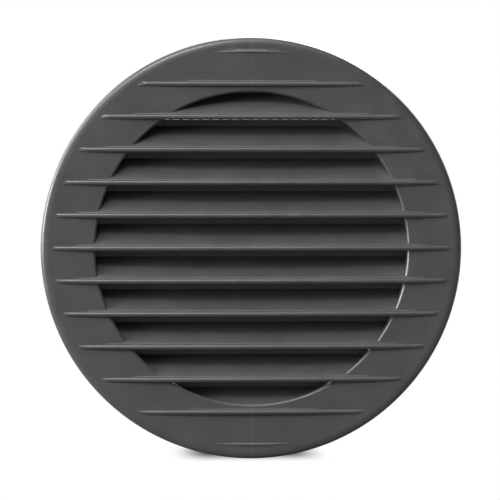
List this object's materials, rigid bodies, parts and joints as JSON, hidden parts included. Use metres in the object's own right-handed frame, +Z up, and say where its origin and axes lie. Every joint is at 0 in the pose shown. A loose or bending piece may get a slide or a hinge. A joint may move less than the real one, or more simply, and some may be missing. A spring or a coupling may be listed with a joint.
{
  "type": "round louvred ventilation cap",
  "caption": "Round plastic ventilation cap with fins, sloping louvre blades, an insect screen and a push-in spigot for a 125 mm air duct.",
  "frame": {"origin": "on the spigot's axis, in the plane of the wall that the flange's rim meets", "axes": "+Y along the spigot's axis into the duct, +Z up with the louvre blades level, +X to the right as seen from the front, which looks along -Y"},
  "size_m": [0.16, 0.0365, 0.16],
  "materials": {
    "moulded_plastic": "moulded anthracite plastic, satin with a faint grain",
    "screen_plastic": "moulded black plastic"
  },
  "bodies": {
    "root": {"grille": "moulded_plastic", "insect_screen": "screen_plastic"}
  },
  "joints": []
}
